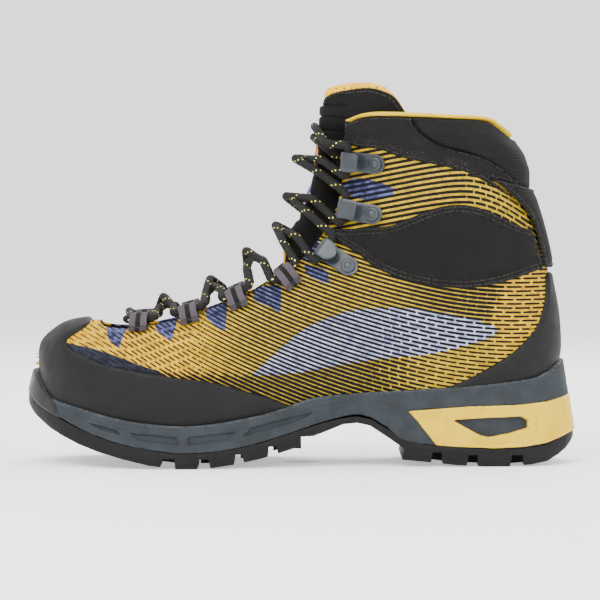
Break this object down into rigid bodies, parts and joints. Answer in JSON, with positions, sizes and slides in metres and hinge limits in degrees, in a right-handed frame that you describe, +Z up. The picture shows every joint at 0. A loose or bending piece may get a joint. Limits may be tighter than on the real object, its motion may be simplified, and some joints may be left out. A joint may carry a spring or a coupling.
{
  "type": "mountaineering_boot",
  "caption": "High laced mountaineering boot for the left foot: patterned textile upper, rubber rand, padded collar, lugged sole with a moulded heel insert.",
  "frame": {"origin": "on the ground, under the middle of the boot's box", "axes": "+X towards the heel, toe at -X, outer (lateral) side at -Y, +Z up the shaft"},
  "size_m": [0.304, 0.1062, 0.2092],
  "materials": {
    "jacquard": "woven stripes, yellow and lavender on near-black, matt",
    "yellow_lining": "perforated textile, matt",
    "yellow_edge": "folded textile edge, matt",
    "yellow_frame": "moulded, satin",
    "grey_foam": "moulded foam, fine grain",
    "black_rubber": "moulded, matt",
    "black_rand": "moulded sheet, fine grain",
    "black_softshell": "stretch woven, matt",
    "black_mesh": "padded mesh, matt",
    "black_tongue": "padded woven, matt",
    "grey_metal": "painted sheet, satin",
    "grey_strap": "narrow webbing, matt",
    "striped_strap": "narrow striped webbing, matt",
    "copper_badge": "printed film, plain, glossy",
    "steel": "rolled strip",
    "stiff_fibre": "pressed fibre sheet",
    "soft_foam": "open foam",
    "lace_black": "braided cord with pale flecks",
    "tip_plastic": "moulded sleeve"
  },
  "bodies": {
    "boot": {"ankle_foam": "soft_foam", "ankle_panel_lateral": "black_softshell", "ankle_panel_medial": "black_softshell", "backstay": "black_softshell", "collar_binding": "yellow_edge", "collar_front_lateral": "black_mesh", "collar_front_medial": "black_mesh", "collar_rear": "black_mesh", "cuff_fabric": "jacquard", "heel_counter": "stiff_fibre", "heel_cup": "black_rand", "heel_insert": "yellow_frame", "hook_lateral_1": "grey_metal", "hook_lateral_2": "grey_metal", "hook_lateral_3": "grey_metal", "hook_medial_1": "grey_metal", "hook_medial_2": "grey_metal", "hook_medial_3": "grey_metal", "insole_board": "stiff_fibre", "lace": "lace_black", "lace_loop_lateral_1": "grey_strap", "lace_loop_lateral_2": "grey_strap", "lace_loop_lateral_3": "grey_strap", "lace_loop_lateral_4": "grey_strap", "lace_loop_medial_1": "grey_strap", "lace_loop_medial_2": "grey_strap", "lace_loop_medial_3": "grey_strap", "lace_loop_medial_4": "grey_strap", "lace_tip_lateral": "tip_plastic", "lace_tip_medial": "tip_plastic", "lining": "yellow_lining", "midsole": "grey_foam", "outsole": "black_rubber", "rand": "black_rand", "rivet_lateral_1": "grey_metal", "rivet_lateral_2": "grey_metal", "rivet_lateral_3": "grey_metal", "rivet_medial_1": "grey_metal", "rivet_medial_2": "grey_metal", "rivet_medial_3": "grey_metal", "shank": "steel", "toe_bumper": "black_rubber", "toe_puff": "stiff_fibre", "tongue_badge": "copper_badge", "tongue_lace_keeper": "striped_strap", "tongue_lower": "black_tongue", "vamp_quarter": "jacquard"},
    "tongue_flap": {"tongue_flap": "black_tongue"},
    "footbed": {"footbed": "soft_foam"}
  },
  "joints": [
    {"name": "tongue_flap_fold", "type": "hinge", "parent": "boot", "child": "tongue_flap", "pos_m": [0.0082, 0.00311, 0.1906], "axis": [0, -1, 0], "range_deg": [0, 40], "stiffness_Nm_per_rad": 0.05},
    {"name": "footbed_lift", "type": "hinge", "parent": "boot", "child": "footbed", "pos_m": [-0.13417, 0.01011, 0.03871], "axis": [0, -1, 0], "range_deg": [0, 12]}
  ]
}
